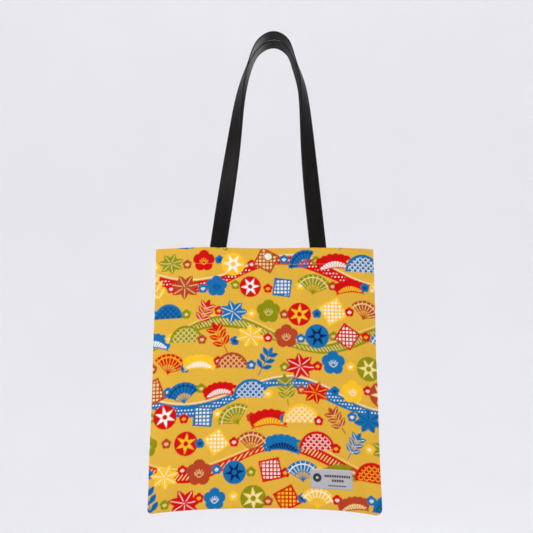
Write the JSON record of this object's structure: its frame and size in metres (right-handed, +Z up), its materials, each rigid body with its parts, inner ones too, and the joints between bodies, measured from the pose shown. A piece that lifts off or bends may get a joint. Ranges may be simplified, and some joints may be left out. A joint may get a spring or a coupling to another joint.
{
  "type": "foldable tote bag",
  "caption": "Flat printed-cloth tote bag with long flat black handles and a press snap, shown hanging by its handles; it folds in half.",
  "frame": {"origin": "hang point: the underside of the handles at the top of their loops, midway between them", "axes": "+X across the bag to the right as seen from the front, +Y from the front wall to the rear wall, +Z up"},
  "size_m": [0.32, 0.0496, 0.6998],
  "materials": {
    "printed_cloth": "printed plain-weave cotton, matte",
    "strap": "black imitation leather, satin",
    "snap_metal": "pale gold, polished",
    "spring_steel": "bare spring wire",
    "label_cloth": "grey woven satin ribbon",
    "thread": "mustard polyester thread",
    "dark_thread": "black polyester thread"
  },
  "bodies": {
    "rear_wall": {"rear_panel_upper": "printed_cloth", "rear_hem": "printed_cloth", "rear_strap_ends": "strap", "rear_strap_threads": "dark_thread", "rear_hem_thread": "thread", "snap_stud": "snap_metal", "snap_stud_cap": "snap_metal"},
    "front_wall": {"front_panel_upper": "printed_cloth", "front_hem": "printed_cloth", "front_strap_ends": "strap", "front_strap_threads": "dark_thread", "front_hem_thread": "thread", "snap_cap": "snap_metal", "snap_socket": "snap_metal", "snap_spring": "spring_steel"},
    "lower_half": {"front_panel_lower": "printed_cloth", "rear_panel_lower": "printed_cloth", "bottom_seam": "printed_cloth", "label": "label_cloth", "label_thread": "thread"},
    "front_handle": {"front_strap": "strap"},
    "rear_handle": {"rear_strap": "strap"}
  },
  "joints": [
    {"name": "mouth_open", "type": "hinge", "parent": "rear_wall", "child": "front_wall", "pos_m": [-0.012, -0.0046, -0.5145], "axis": [1, 0, 0], "range_deg": [0, 14]},
    {"name": "fold_in_half", "type": "hinge", "parent": "rear_wall", "child": "lower_half", "pos_m": [-0.012, 0.0054, -0.5145], "axis": [1, 0, 0], "range_deg": [0, 170]},
    {"name": "front_handle_swing", "type": "hinge", "parent": "front_wall", "child": "front_handle", "pos_m": [-0.012, -0.0053, -0.3307], "axis": [1, 0, 0], "range_deg": [0, 165]},
    {"name": "rear_handle_swing", "type": "hinge", "parent": "rear_wall", "child": "rear_handle", "pos_m": [-0.012, 0.0053, -0.3307], "axis": [-1, 0, 0], "range_deg": [0, 90]}
  ]
}
